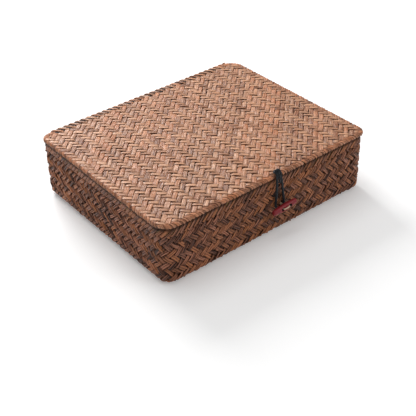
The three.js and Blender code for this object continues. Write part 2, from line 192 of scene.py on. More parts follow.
def grow_strands(name, place, direction, strand, width, seed, thickness=strand_thickness, tilt=0.0,
                 section=crowned_section, tone=0.5, tone_spread=0.5, warm=1.0, spread=0.11, wander=0.25,
                 roll=0.13, painted_shading=0.0):
    """Strands as one mesh. Each section outline lies across the strand's run at its place: its points are
    the place, plus the sideways direction times across times width, plus the upward direction times rise
    times thickness, and none lies below the lowest point. Sections of one strand are joined in turn, and
    its two ends are closed. A strand leans by tilt, and chance moves it sideways by wander, turns it by
    roll along its run and narrows it by up to spread. Its tone is a normal chance round tone, half as wide
    as tone_spread, and its warmth is a chance up to warm. Its painted shading is 1 for full painted shade
    deep down, and below 0 for a painted highlight."""
    changes = strand[1:] != strand[:-1]
    fresh, ends = np.concatenate([[True], changes]), np.concatenate([changes, [True]])
    index = np.arange(len(strand))
    run = place[np.where(ends, index, index + 1)] - place[np.where(fresh, index, index - 1)]
    run /= np.linalg.norm(run, axis=1, keepdims=True)
    side = np.cross(direction, run)
    side /= np.linalg.norm(side, axis=1, keepdims=True)
    up = np.cross(run, side)
    number = np.cumsum(fresh) - 1
    total = number[-1] + 1
    chance = np.random.default_rng(seed)
    step = np.linalg.norm(np.diff(place, axis=0, prepend=place[:1]), axis=1)
    travel = np.cumsum(np.where(fresh, 0, step))
    place = place + side * wander * drift(travel, number, chance)[:, None]
    turn = (tilt + roll * drift(travel, number, chance))[:, None]
    side, up = side * np.cos(turn) + up * np.sin(turn), up * np.cos(turn) - side * np.sin(turn)
    across, rise = section[0], section[1][chance.integers(0, len(section[1]), total)[number]]
    count = len(across)
    width = width * (1 + 0.05 * drift(travel, number, chance))
    width = (width * chance.uniform(1.03 - spread, 1.03, total)[number])[:, None, None]
    points = (place[:, None] + side[:, None] * across[:, None] * width
              + up[:, None] * rise[:, :, None] * thickness).reshape(-1, 3)
    points[:, 2] = np.maximum(points[:, 2], lowest_point)
    low = index[~ends][:, None] * count + np.arange(count)
    high = low + count
    quads = np.stack([low, high, np.roll(high, -1, axis=1), np.roll(low, -1, axis=1)], axis=2).ravel()
    heads = (index[fresh][:, None] * count + np.arange(count)).ravel()
    tails = (index[ends][:, None] * count + np.arange(count)[::-1]).ravel()
    sizes = np.concatenate([np.full(len(quads) // 4, 4), np.full(2 * total, count)])
    mesh = mesh_of(name, points, np.concatenate([quads, heads, tails]), sizes)
    travel = travel + chance.uniform(0, 900, total)[number]
    lay = np.stack([np.repeat(travel, count), (across * width[:, 0]).ravel(),
                    np.repeat(chance.uniform(0, 90, total)[number], count)], axis=1)
    tone = np.clip(tone + tone_spread * chance.standard_normal(total) / 2, 0, 1)[number]
    warmth = warm * np.clip(chance.uniform(-0.6, 1.0, total), 0, 1)[number]
    write_values(mesh, "lay", lay)
    painted_shading = np.broadcast_to(painted_shading, len(strand))
    for key, values in (("tone", tone), ("warmth", warmth), ("painted_shading", painted_shading)):
        write_values(mesh, key, np.repeat(values, count))
    return placed(name, mesh)


def dive(over):
    """Share of painted shade where a strand dives under the next: none from a height of 0.8 up, 1 from a
    height of 0 down, and a straight slope between them."""
    return np.clip((0.8 - over) / 0.8, 0, 1)


def plait_band(name, outline, profile, high, family, seed, face=1, step=1.5, section=crowned_section,
               breadth=0.92, **look):
    """One family of slanted strands round a band. Family 1 leans to the right as it goes up and family -1 to
    the left. A crossing's number is the difference between the numbers of its two strands."""
    pitch = outline[0, -1] / wall_strands
    levels = int(high / step * math.sqrt(2)) + 1
    crossing = drawn_to_dives(np.linspace(-0.5, 2 * high / pitch - 0.5, levels))
    up, start = np.meshgrid((crossing + 0.5) * pitch / 2, np.arange(wall_strands) * pitch)
    around = start + family * up
    over = -family * weave_height(2 * up / pitch - 0.5).ravel()
    strand = np.repeat(np.arange(wall_strands), levels)
    place, direction = on_band(outline, profile, around.ravel(), up.ravel(), weave_lift * over, face)
    width = pitch / math.sqrt(2) * breadth
    # Painted shade where the strand dives under the next.
    return grow_strands(name, place, direction, strand, width, seed, section=section, painted_shading=dive(over),
                        **look)


base_outline = outline_table(base_half_width, base_front, base_back, base_wide_corner, base_tight_corner)
edge_lift = 0.9
tuck_inset = 2.1
wall_profile = profile_table(np.concatenate([
    arc_points(base_edge, base_edge + edge_lift, base_edge - mat_middle, 270, 180, 14),
    [[mat_middle, 55.2], [tuck_inset, 57.6], [tuck_inset, rim_top]],
]))
wall_length = wall_profile[0, -1] - (rim_top - wall_top)


def spaced(counts):
    """The numbers from 0 up, each repeated by its count, and the share from 0 to 1 gone at each repeat."""
    which = np.repeat(np.arange(len(counts)), counts)
    place = np.arange(len(which)) - np.repeat(np.cumsum(counts) - counts, counts)
    return which, place / (counts[which] - 1)


def inside_depth(x, y, half_x, front, back, wide, tight):
    """How far a point lies inside a rectangle with round corners, negative outside it: the corner's radius
    less the distance past its centre. The tight corners lie where x and y differ in sign."""
    corner = np.where(x * (y - (front + back) / 2) < 0, tight, wide)
    across = np.abs(x) - (half_x - corner)
    along = np.abs(y - (front + back) / 2) - ((back - front) / 2 - corner)
    outside = np.hypot(np.maximum(across, 0), np.maximum(along, 0))
    return corner - outside - np.minimum(np.maximum(across, along), 0)


def plait_panel(name, border, height, family, seed, face=1, pitch=5.3, step=1.8,
                section=crowned_section, breadth=0.92, shorter=0.0, leftwards=0.0, **look):
    """One family of strands of a flat panel, cut off at its outline moved leftwards. Family 1 runs back and
    to the right, family -1, whose floats can be shorter, forwards and to the right. A crossing's number is
    the sum of its two strands' numbers."""
    reach = int((border[0] + border[2] - border[1]) / pitch)
    number = np.arange(-reach, reach)
    fixed = (number + 0.5) * pitch
    probe = np.arange(-reach * pitch, reach * pitch, 0.5)
    along, still = np.meshgrid(probe, fixed)
    x, y = (along + still) / math.sqrt(2), family * (along - still) / math.sqrt(2)
    kept = inside_depth(x + leftwards, y, *border) > 0
    wide = kept.sum(axis=1) > 6
    number, fixed, kept = number[wide], fixed[wide], kept[wide]
    start, end = probe[kept.argmax(axis=1)], probe[kept.shape[1] - 1 - kept[:, ::-1].argmax(axis=1)]
    counts = np.maximum(((end - start) / step).astype(int), 3)
    strand, share = spaced(counts)
    still = fixed[strand]
    crossing = drawn_to_dives((start[strand] + (end - start)[strand] * share) / pitch + number[strand] - 1)
    along = (crossing - number[strand] + 1) * pitch
    x, y = (along + still) / math.sqrt(2), family * (along - still) / math.sqrt(2)
    over = -family * face * weave_height(crossing, shorter)
    place = np.stack([x, y, height(x, y) + weave_lift * face * over], axis=1)
    direction = np.tile([0.0, 0.0, float(face)], (len(strand), 1))
    # Painted shade where the strand dives under the next.
    return grow_strands(name, place, direction, strand, pitch * breadth, seed, section=section,
                        painted_shading=dive(over), **look)


floor_border = (base_half_width - base_edge + 1, base_front + base_edge - 1, base_back - base_edge + 1,
                base_wide_corner - base_edge + 1, base_tight_corner - base_edge + 1)
underside_height = 1.35
basket_pieces = []
for family, word in ((1, "rising"), (-1, "falling")):
    basket_pieces.append(plait_band(
        "wall_" + word, base_outline, wall_profile, wall_length, family, 11 + family, breadth=0.86,
        section=split_section, thickness=1.5, roll=0.45, wander=0.5, tone_spread=0.8, spread=0.3,
    ))
    basket_pieces.append(plait_panel(
        "underside_" + word, floor_border, lambda x, y: np.full_like(x, underside_height), family,
        21 + family, face=-1, step=2.6, section=plain_section,
    ))
for piece in basket_pieces:
    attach(piece, "base")
    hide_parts("outer_basket")


def fill(tree, socket, value):
    """Gives an input its value: an output is linked to it, and a number or a colour is set."""
    if hasattr(value, "is_output"):
        tree.links.new(value, socket)
    else:
        socket.default_value = value


def feed(tree, node, **values):
    """A node with its inputs filled by their names, which are written with _ for a space."""
    for name, value in values.items():
        fill(tree, node.inputs[name.replace("_", " ")], value)
    return node


def add_node(tree, kind, **values):
    """A new shader node of a kind with its inputs filled."""
    return feed(tree, tree.nodes.new("ShaderNode" + kind), **values)


def maths(tree, operation, first, second=0.0, third=0.0):
    """One Math node on outputs or numbers, and its output."""
    node = add_node(tree, "Math")
    node.operation = operation
    for socket, value in zip(node.inputs, (first, second, third)):
        fill(tree, socket, value)
    return node.outputs[0]


def blend_colour(tree, share, first, second, kind="MIX"):
    """One colour Mix node from the first colour to the second, and its output."""
    node = add_node(tree, "Mix")
    node.data_type = "RGBA"
    node.blend_type = kind
    for number, value in ((0, share), (6, first), (7, second)):
        fill(tree, node.inputs[number], value)
    return node.outputs[2]


def attribute(tree, name, output="Fac"):
    """An attribute of the mesh as an output."""
    node = add_node(tree, "Attribute")
    node.attribute_name = name
    return node.outputs[output]


def grain_noise(tree, lay, along, across, seed, detail=3.0):
    """Noise drawn out along the strand: its place is the strand's travel and breadth, each scaled."""
    travel, breadth, number = add_node(tree, "SeparateXYZ", Vector=lay).outputs
    place = add_node(tree, "CombineXYZ", X=maths(tree, "MULTIPLY", travel, along),
                     Y=maths(tree, "MULTIPLY", breadth, across), Z=maths(tree, "ADD", number, seed))
    return add_node(tree, "TexNoise", Vector=place.outputs[0], Scale=1.0, Detail=detail).outputs[0]


def new_material(name, **values):
    """A material, its node tree and its Principled shader, whose inputs are filled."""
    material = bpy.data.materials.new(name)
    material.use_nodes = True
    tree = material.node_tree
    return material, tree, feed(tree, tree.nodes["Principled BSDF"], **values)


def bumped(tree, height, distance, strength=1.0):
    """A normal bumped by a height over a distance in metres."""
    return add_node(tree, "Bump", Height=height, Distance=distance, Strength=strength).outputs[0]


# The dry leaf of the seagrass: lengthwise fibres, blotches along a strand, and a tone and a warmth of its
# own for every strand, with painted shade at the edges, in the crease and in hollows, and painted
# highlights.
leaf = bpy.data.node_groups.new("seagrass_leaf", "ShaderNodeTree")
leaf_values = {"Dark": (0.1, 0.05, 0.03, 1), "Pale": (0.5, 0.3, 0.2, 1), "Warm": (0.5, 0.2, 0.08, 1),
               "Recess": 0.9, "Edge": 0.45, "Split": 0.0}
for key, value in leaf_values.items():
    kind = "NodeSocketFloat" if isinstance(value, float) else "NodeSocketColor"
    leaf.interface.new_socket(name=key, in_out="INPUT", socket_type=kind).default_value = value
for key in ("Color", "Roughness", "Height"):
    kind = "NodeSocketColor" if key == "Color" else "NodeSocketFloat"
    leaf.interface.new_socket(name=key, in_out="OUTPUT", socket_type=kind)
leaf_in = leaf.nodes.new("NodeGroupInput").outputs
leaf_out = leaf.nodes.new("NodeGroupOutput")
leaf_lay = attribute(leaf, "lay", "Vector")
# Painted shading: above 0 it is painted shade, below 0 a painted highlight.
leaf_tone, leaf_warmth, leaf_painted_shading = (attribute(leaf, key) for key in ("tone", "warmth", "painted_shading"))
leaf_across, leaf_number = add_node(leaf, "SeparateXYZ", Vector=leaf_lay).outputs[1:]
fibres = grain_noise(leaf, leaf_lay, 0.05, 2.4, 3.0)
ribs = grain_noise(leaf, leaf_lay, 0.03, 0.85, 7.0, 1.0)
blotches = grain_noise(leaf, leaf_lay, 0.07, 0.25, 11.0, 2.0)

# Furrows are a wave across the strand, bent by the ribs and sharpened by its fifth power.
furrow_wave = maths(leaf, "MULTIPLY_ADD", leaf_across, 1.9, maths(leaf, "MULTIPLY", leaf_number, 3.0))
furrow_wave = maths(leaf, "COSINE", maths(leaf, "MULTIPLY_ADD", ribs, 6.0, furrow_wave))
furrows = maths(leaf, "POWER", maths(leaf, "ABSOLUTE", furrow_wave), 5.0)

# Painted shade darkens the edges with the cube of the distance from the strand's middle, which is 1 at 2.6
# mm.
edge_shade = maths(leaf, "POWER", maths(leaf, "ABSOLUTE", maths(leaf, "DIVIDE", leaf_across, 2.6)), 3.0)
edge_shade = maths(leaf, "SMOOTH_MIN", edge_shade, 1.0, 0.2)

# The split is a crease 0.65 mm to either side of the middle, which the blotches move; painted shade lies
# along it.
crease = maths(leaf, "ADD", leaf_across, maths(leaf, "MULTIPLY_ADD", blotches, 3.0, -1.5))
crease = maths(leaf, "SUBTRACT", 1.0, maths(leaf, "DIVIDE", maths(leaf, "ABSOLUTE", crease), 0.65))

# Brightness is the tone's share, plus each pattern times its weight plus an offset, plus a painted highlight
# where the painted shading is below 0.
brightness = maths(leaf, "MULTIPLY", leaf_tone, 0.62)
for pattern, weight, offset in ((fibres, 1.1, -0.55), (blotches, 1.1, -0.36), (ribs, 1.6, -0.8),
                                (furrows, -0.55, 0.17)):
    brightness = maths(leaf, "ADD", brightness, maths(leaf, "MULTIPLY_ADD", pattern, weight, offset))
brightness = maths(leaf, "SUBTRACT", brightness, maths(leaf, "MINIMUM", leaf_painted_shading, 0.0))
clamped = add_node(leaf, "Clamp", Value=brightness).outputs[0]
# The painted shade colour is the dark colour times a dark grey. Over the strand's colour go the warm colour,
# then painted shade at the edges, in the crease and where the painted shading is above 0.
painted_shade_colour = blend_colour(leaf, 1.0, leaf_in["Dark"], (0.15, 0.15, 0.15, 1), "MULTIPLY")
leaf_colour = blend_colour(leaf, clamped, leaf_in["Dark"], leaf_in["Pale"])
for mask, weight, colour in (
        (leaf_warmth, 0.6, leaf_in["Warm"]), (edge_shade, leaf_in["Edge"], leaf_in["Dark"]),
        (crease, leaf_in["Split"], leaf_in["Dark"]), (leaf_painted_shading, leaf_in["Recess"], painted_shade_colour)):
    leaf_colour = blend_colour(leaf, maths(leaf, "MULTIPLY", mask, weight), leaf_colour, colour)
feed(leaf, leaf_out, Color=leaf_colour, Roughness=maths(leaf, "MULTIPLY_ADD", fibres, 0.35, 0.3),
     Height=maths(leaf, "SUBTRACT", fibres, furrows))


def grass_finish(name, dark, pale, warm, specular=0.5, painted_shading=0.9, edge=0.45, split=0.0):
    """A material of seagrass strands from its dark, pale and warm colours, and from how strong its painted
    shade is in hollows, at the strands' edges and in the crease along their middle."""
    material, tree, shader = new_material(name, Specular_IOR_Level=specular)
    strand_look = tree.nodes.new("ShaderNodeGroup")
    strand_look.node_tree = leaf
    feed(tree, strand_look, Dark=(*dark, 1), Pale=(*pale, 1), Warm=(*warm, 1), Recess=painted_shading, Edge=edge,
         Split=split)
    colour, roughness, height = strand_look.outputs
    feed(tree, shader, Base_Color=colour, Roughness=roughness, Normal=bumped(tree, height, 0.0005, 0.6))
    return material


# The walls' split weight paints shade along each strand's crease.
wall_grass = grass_finish("dark_seagrass", (0.035, 0.012, 0.007), (0.54, 0.22, 0.13), (0.62, 0.22, 0.075),
                          specular=0.3, painted_shading=0.65, split=0.8)
for piece in basket_pieces:
    piece.data.materials.append(wall_grass)

# Lining basket: a second mat inside the first. It steps inwards near the mouth, where the bamboo hoop lies
# between the two baskets.
lining_inset = 2.7
lining_step = 4.8
lining_floor = 2.7
lining_profile = profile_table(np.concatenate([
    arc_points(base_edge, base_edge, base_edge - lining_inset, 270, 180, 10),
    [[lining_inset, 52.8], [lining_step, 54.9], [lining_step, rim_top]],
]))
lining_length = lining_profile[0, -1] - (rim_top - wall_top) + 1
lining_look = {"step": 2.6, "section": plain_section, "spread": 0.03, "wander": 0.1}
lining_pieces = []
for family, word in ((1, "rising"), (-1, "falling")):
    lining_pieces.append(plait_band(
        "lining_wall_" + word, base_outline, lining_profile, lining_length, family, 31 + family, face=-1,
        breadth=1.22, **lining_look,
    ))
    lining_pieces.append(plait_panel(
        "lining_floor_" + word, floor_border, lambda x, y: np.full_like(x, lining_floor), family,
        41 + family, breadth=1.05, **lining_look,
    ))
for piece in lining_pieces:
    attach(piece, "base")
    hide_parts("lining_basket")
    piece.data.materials.append(wall_grass)


# Rim hoop: a bamboo lath bent round the mouth between the two baskets. Its shape is the frame's own, and it
# gets the straight grain of split bamboo.
def object_noise(tree, stretch, detail, turn=(0, 0, 0)):
    """Noise on the object's own coordinates, stretched along each axis and then turned."""
    coordinates = add_node(tree, "TexCoord").outputs["Object"]
    place = add_node(tree, "Mapping", Vector=coordinates, Scale=stretch, Rotation=turn).outputs[0]
    return add_node(tree, "TexNoise", Vector=place, Scale=1.0, Detail=detail).outputs[0]


cane, cane_tree, cane_shader = new_material("split_cane")
cane_grain = object_noise(cane_tree, (60, 60, 2500), 4.0)
feed(cane_tree, cane_shader,
     Base_Color=blend_colour(cane_tree, cane_grain, (0.22, 0.11, 0.04, 1), (0.62, 0.4, 0.19, 1)),
     Roughness=maths(cane_tree, "MULTIPLY_ADD", cane_grain, 0.3, 0.4),
     Normal=bumped(cane_tree, cane_grain, 0.0003))
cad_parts["rim_hoop"].data.materials.clear()
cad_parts["rim_hoop"].data.materials.append(cane)

# Rim hem: the strand ends of both baskets, folded over the hoop one beside another at a slant. They are
# broad and lie a little on edge, and painted shade darkens them in the groove under the lid.
hem_bottom = rim_top - 9.5
rim_profile = profile_table(np.concatenate([
    [[0.3, hem_bottom]], arc_points(2.8, rim_top - 3.7, 2.5, 180, 0, 16), [[5.3, hem_bottom]],
]))


def wrap_band(name, outline, profile, pitch_count, slant, width, seed, levels, shaded, **look):
    """Strands wrapped side by side over an edge: each goes up the profile and moves along the outline by
    slant times that distance. Shaded gives the recess of an array of points: 1 deep down, -1 worn pale."""
    pitch = outline[0, -1] / pitch_count
    up, start = np.meshgrid(np.linspace(0, profile[0, -1], levels), np.arange(pitch_count) * pitch)
    chance = np.random.default_rng(seed)
    around = start + chance.uniform(-0.12, 0.12, (pitch_count, 1)) * pitch + slant * up
    rise = chance.uniform(-0.12, 0.12, (pitch_count, 1)) + 0 * up
    strand = np.repeat(np.arange(pitch_count), levels)
    place, direction = on_band(outline, profile, around.ravel(), up.ravel(), rise.ravel())
    return grow_strands(name, place, direction, strand, width, seed, painted_shading=shaded(place), **look)


def rim_painted_shade(place):
    """Painted shade in the groove under the lid, a little below the rim's top."""
    below = rim_top - place[:, 2]
    return np.interp(below, (0.5, 1.2, 2.3, 4.0), (0.3, 0.75, 0.8, 0.0))


hem_grass = grass_finish("hem_seagrass", (0.05, 0.018, 0.01), (0.46, 0.195, 0.115), (0.5, 0.18, 0.065),
                         specular=0.25)
rim_wraps = wrap_band("rim_wraps", base_outline, rim_profile, pitch_count=176, slant=0.95, width=3.9,
                      seed=51, levels=34, shaded=rim_painted_shade, tilt=0.25, thickness=1.1, wander=0.3,
                      spread=0.25)
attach(rim_wraps, "base")
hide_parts("rim_hem")
rim_wraps.data.materials.append(hem_grass)

# Rim filler: four strands laid round the box under the hoop, where the lining steps inwards. They close the
# gap between the two baskets, and painted shade darkens them all over.
filler_profile = profile_table([[1.9, 50.0], [1.9, 52.6], [3.2, 54.6], [3.2, 56.5]])
filler_rows = (0.8, 2.6, 4.4, 6.1)
filler_steps = 400
filler_around, filler_up = np.meshgrid(np.linspace(0, base_outline[0, -1], filler_steps), filler_rows)
filler_place, filler_direction = on_band(
    base_outline, filler_profile, filler_around.ravel(), filler_up.ravel(), np.zeros(filler_up.size))
rim_filler = grow_strands("rim_filler", filler_place, filler_direction,
                          np.repeat(np.arange(len(filler_rows)), filler_steps), width=2.2, seed=52,
                          thickness=0.9, section=plain_section, spread=0.03, wander=0.05, painted_shading=0.7)
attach(rim_filler, "base")
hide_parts("rim_hem")
rim_filler.data.materials.append(hem_grass)

# Toggle: a turned wooden bar, a little thicker at its middle, scooped out on the front, drilled with two
# holes and dipped in dark red lacquer.
toggle_place = np.array([12.8, -116.69, 34.0])
toggle_lean = math.radians(5)
toggle_shift = -1.2
toggle_half = 15.6
toggle_end = 3.2
toggle_swell = 1.0
toggle_round = 1.4
toggle_flat = 0.76
scoop_depth = 0.9
scoop_radius = 50.0
hole_offset = 4.65
hole_radius = 1.95
bar_sides = 96
drill_sides = 40


def at_toggle(points):
    """Points of the toggle's own frame, turned by its lean and moved to its place on the front wall."""
    x, y, z = points[..., 0], points[..., 1], points[..., 2]
    lean_sine, lean_cosine = math.sin(toggle_lean), math.cos(toggle_lean)
    leaning = np.stack([x * lean_cosine - z * lean_sine, y, x * lean_sine + z * lean_cosine], axis=-1)
    return leaning + toggle_place


def rings_object(name, rings):
    """A closed body whose rows of points are rings, joined in turn and closed flat at both ends."""
    rows, sides = rings.shape[:2]
    low = np.arange(rows - 1)[:, None] * sides + np.arange(sides)
    quads = np.stack([low, np.roll(low, -1, axis=1), np.roll(low, -1, axis=1) + sides, low + sides], axis=2)
    corners = np.concatenate([quads.ravel(), np.arange(sides)[::-1], (rows - 1) * sides + np.arange(sides)])
    mesh = mesh_of(name, rings.reshape(-1, 3), corners, np.array([4] * (quads.size // 4) + [sides] * 2))
    return placed(name, mesh)


round_off = np.radians(np.linspace(0, 90, 9))
barrel = np.linspace(-1, 1, 61)[1:-1]
end_x = toggle_half - toggle_round + toggle_round * np.cos(round_off)
end_reach = toggle_end - toggle_round + toggle_round * np.sin(round_off)
bar_x = np.concatenate([-end_x, barrel * (toggle_half - toggle_round), end_x[::-1]])
bar_reach = np.concatenate([end_reach, toggle_end + toggle_swell * (1 - barrel ** 2), end_reach[::-1]])
bar_angle = np.linspace(0, 2 * np.pi, bar_sides, endpoint=False)
bar_points = np.stack([
    np.broadcast_to(bar_x[:, None], (len(bar_x), bar_sides)),
    toggle_flat * bar_reach[:, None] * np.cos(bar_angle),
    bar_reach[:, None] * np.sin(bar_angle),
], axis=-1)
scoop_face = scoop_depth - toggle_flat * (toggle_end + toggle_swell) - scoop_radius + np.sqrt(
    scoop_radius ** 2 - bar_points[..., 0] ** 2)
bar_points[..., 1] = np.maximum(bar_points[..., 1], scoop_face)
bar_points[..., 0] += toggle_shift
lacquer, lacquer_tree, lacquer_shader = new_material(
    "red_lacquer", Roughness=0.4, Specular_IOR_Level=0.2, Coat_Weight=0.25, Coat_Roughness=0.15)
lacquer_grain = object_noise(lacquer_tree, (90, 900, 900), 5.0, (0, toggle_lean, 0))
feed(lacquer_tree, lacquer_shader,
     Base_Color=blend_colour(lacquer_tree, lacquer_grain, (0.1, 0.004, 0.007, 1), (0.36, 0.018, 0.026, 1)),
     Normal=bumped(lacquer_tree, lacquer_grain, 0.0001))
# The holes' walls get a near-black colour: painted shade inside the bores.
bore_painted_shade, bore_shade_tree, bore_shade_shader = new_material("bore_painted_shade", Roughness=0.9)
bore_shade_grain = object_noise(bore_shade_tree, (900, 900, 900), 2.0)
feed(bore_shade_tree, bore_shade_shader,
     Base_Color=blend_colour(bore_shade_tree, bore_shade_grain, (0.004, 0.002, 0.002, 1), (0.02, 0.01, 0.007, 1)))

toggle_bar = rings_object("toggle_wood", at_toggle(bar_points))
toggle_bar.data.materials.append(lacquer)
drill_angle = np.linspace(0, 2 * np.pi, drill_sides, endpoint=False)
drill_flare = np.array([[1.25], [1.0], [1.0], [1.25]])
drill_depth = np.array([[-3.6], [-1.7], [2.4], [4.4]])
for side in (-1, 1):
    drill_rings = np.stack([
        hole_radius * np.cos(drill_angle) * drill_flare + side * hole_offset,
        np.broadcast_to(drill_depth, (len(drill_depth), drill_sides)),
        hole_radius * np.sin(-drill_angle) * drill_flare,
    ], axis=-1)
    drill = rings_object("drill", at_toggle(drill_rings))
    drill.data.materials.append(bore_painted_shade)
    hole = toggle_bar.modifiers.new("hole", "BOOLEAN")
    hole.operation = "DIFFERENCE"
    hole.solver = "EXACT"
    hole.material_mode = "TRANSFER"
    hole.object = drill
    bored = toggle_bar.evaluated_get(bpy.context.evaluated_depsgraph_get())
    drilled = bpy.data.meshes.new_from_object(bored)
    toggle_bar.modifiers.clear()
    toggle_bar.data = drilled
    bpy.data.objects.remove(drill)
toggle_bar.data.shade_smooth()
toggle_bar.data.set_sharp_from_angle(angle=math.radians(28))

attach(toggle_bar, "toggle")
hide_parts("toggle_bar")


# Toggle thread: one twisted raffia strand. It comes forward through one hole, lies across the scoop and goes
# back through the other.
def smooth_path(points, per_span=12):
    """Points on a centripetal Catmull-Rom curve: each span blends its four nearest points by the square
    roots of their distances."""
    points = np.array(points, dtype=float)
    padded = np.concatenate([[2 * points[0] - points[1]], points, [2 * points[-1] - points[-2]]])
    knots = np.concatenate([[0], np.cumsum(np.sqrt(np.linalg.norm(np.diff(padded, axis=0), axis=1)))])
    share = np.linspace(0, 1, per_span, endpoint=False)
    t0, t1, t2, t3 = (knots[k:len(knots) - 3 + k, None, None] for k in range(4))
    p0, p1, p2, p3 = (padded[k:len(padded) - 3 + k, None] for k in range(4))
    t = t1 + (t2 - t1) * share[None, :, None]
    a1 = (t1 - t) / (t1 - t0) * p0 + (t - t0) / (t1 - t0) * p1
    a2 = (t2 - t) / (t2 - t1) * p1 + (t - t1) / (t2 - t1) * p2
    a3 = (t3 - t) / (t3 - t2) * p2 + (t - t2) / (t3 - t2) * p3
    b1 = (t2 - t) / (t2 - t0) * a1 + (t - t0) / (t2 - t0) * a2
    b2 = (t3 - t) / (t3 - t1) * a2 + (t - t1) / (t3 - t1) * a3
    curve = (t2 - t) / (t2 - t1) * b1 + (t - t1) / (t2 - t1) * b2
    return np.concatenate([curve.reshape(-1, 3), points[-1:]])


def round_strand(name, path, steps, sides, reach, about=None):
    """A round strand along a path. Each ring's points lie at reach, a function of the angle and the travel,
    from the path. The rings are carried along without turning, or face away from a middle point."""
    step = np.linalg.norm(np.diff(path, axis=0), axis=1)
    travel = np.concatenate([[0], np.cumsum(step)])
    wanted = np.linspace(0, travel[-1], steps)
    place = np.stack([np.interp(wanted, travel, axis) for axis in path.T], axis=1)
    run = np.gradient(place, axis=0)
    run /= np.linalg.norm(run, axis=1, keepdims=True)
    side = np.zeros_like(run) if about is None else place - about
    if about is None:
        side[0] = np.cross(run[0], [0.3, 1.0, 0.2])
        for k in range(1, steps):
            side[k] = side[k - 1] - run[k] * (side[k - 1] @ run[k])
            side[k] /= np.linalg.norm(side[k])
    side -= run * np.sum(side * run, axis=1, keepdims=True)
    side /= np.linalg.norm(side, axis=1, keepdims=True)
    up = np.cross(run, side)
    angle = np.linspace(0, 2 * np.pi, sides, endpoint=False)
    out = side[:, None] * np.cos(angle)[:, None] + up[:, None] * np.sin(angle)[:, None]
    distance = reach(angle[None, :], wanted[:, None])
    piece = rings_object(name, place[:, None] + out * distance[..., None])
    lay = np.stack(np.broadcast_arrays(wanted[:, None], angle * distance.mean(), np.zeros((steps, 1))),
                   axis=-1)
    write_values(piece.data, "lay", lay)
    write_values(piece.data, "tone", np.full(steps * sides, 0.6))
    return piece


def twisted(radius, ply, lay_length, relief):
    """Reach of a twisted strand: the radius, with one hollow between every two plies that turns with the
    travel."""
    return lambda angle, travel: radius * (1 - relief + relief * np.abs(np.cos(
        ply / 2 * (angle + 2 * np.pi * travel / lay_length))))


raffia = grass_finish("raffia", (0.45, 0.27, 0.15), (0.9, 0.74, 0.56), (0.85, 0.58, 0.34))
thread_half = [(0.4, 4.0, 0), (2.3, 4.0, 0), (3.1, 3.7, 0), (3.5, 2.8, 0), (3.5, 0, 0), (3.5, -1.9, 0),
               (3.1, -2.85, 0), (2.1, -3.1, 0)]
thread_route = smooth_path(thread_half + [(0, -3.13, 0)] + [(-x, y, z) for x, y, z in thread_half[::-1]])
thread = round_strand("toggle_raffia", at_toggle(thread_route), 200, 16, twisted(0.82, 2, 4.2, 0.24))
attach(thread, "toggle")
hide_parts("toggle_thread")
thread.data.materials.append(raffia)


# Toggle shank: the wound neck that holds the thread. It goes through the front wall to a knot inside the
# box, which can't slip out.
def wound(angle, travel):
    """Reach of the shank: a neck with a winding every 1.1 mm, or the knot where that reaches further. The
    knot is a rippled ball 9.4 mm along, of 2.6 mm radius, squashed to 0.85 of its length."""
    neck = 1.12 + 0.12 * np.abs(np.cos(np.pi * travel / 1.1 + angle / 2))
    ball = np.sqrt(np.maximum(2.6 ** 2 - ((travel - 9.4) / 0.85) ** 2, 0.01))
    return np.maximum(neck, ball * (1 + 0.06 * np.cos(3 * travel + 2 * angle)))


shank_route = np.stack([np.full(40, 12.8), np.linspace(-112.3, -100.4, 40), np.full(40, 34.0)], axis=1)
shank = round_strand("shank_raffia", shank_route, 90, 24, wound)
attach(shank, "base")
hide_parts("toggle_shank")
shank.data.materials.append(raffia)

# Lid frame: a round cane bent to the lid's outline, which the lid's edge is rolled over. Its shape is the
# frame's own, and it has the rim hoop's cane.
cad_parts["lid_frame"].data.materials.clear()
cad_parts["lid_frame"].data.materials.append(cane)

# Lid top mat: the plaited panel that shows most. The strands that run back are broad and reddish, and those
# that cross them are narrower, with a paler, less warm tone that is a painted sheen of the light on them.
lid_bottom = 67.4
lid_half_width = 135.0
lid_front = -111.0
lid_wide_corner = 18.0
lid_tight_corner = 11.0
lid_height = 73.0
lid_top_border = (lid_half_width - 3.5, lid_front + 4.4, 101.5, lid_wide_corner - 3.9,
                  lid_tight_corner - 7.4)
lid_grass = grass_finish("seagrass", (0.195, 0.06, 0.022), (0.73, 0.385, 0.22), (0.6, 0.205, 0.07),
                         specular=0.7, painted_shading=0.45, edge=0.3)
lid_pieces = []
# The forward strands' higher tone and lower warmth are a painted sheen.
for family, word, breadth, tone, warm in ((1, "back", 1.03, 0.4, 1.0), (-1, "forward", 0.86, 0.76, 0.25)):
    lid_pieces.append(plait_panel(
        "lid_strands_" + word, lid_top_border, lambda x, y: np.full_like(x, lid_height - mat_middle), family,
        61 + family, step=1.4, breadth=breadth, shorter=0.06, leftwards=0.9, thickness=0.8, tone=tone,
        warm=warm, spread=0.2, wander=0.45,
    ))
for piece in lid_pieces:
    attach(piece, "lid")
    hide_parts("lid_top_mat")
    piece.data.materials.append(lid_grass)

# Lid under mat: the lid's lining. It is level with the hem's lower fold at its border and raised inside
# the frame.
lining_border = (125.7, -101.7, 99.8, 8.7, 1.7)
lining_raise = 2.1


def lining_height(x, y):
    """Height of the lining's middle: a smooth step up from the border to the raised panel, which begins
    3 mm inside it and is as long as it is high."""
    share = np.clip((inside_depth(x, y, *lining_border) - 3) / lining_raise, 0, 1)
    return lid_bottom + mat_middle + lining_raise * share * share * (3 - 2 * share)


for family, word in ((1, "back"), (-1, "forward")):
    piece = plait_panel("lid_lining_" + word, lining_border, lining_height, family, 71 + family, face=-1,
                        step=2.6, section=plain_section)
    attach(piece, "lid")
    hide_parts("lid_under_mat")
    piece.data.materials.append(wall_grass)

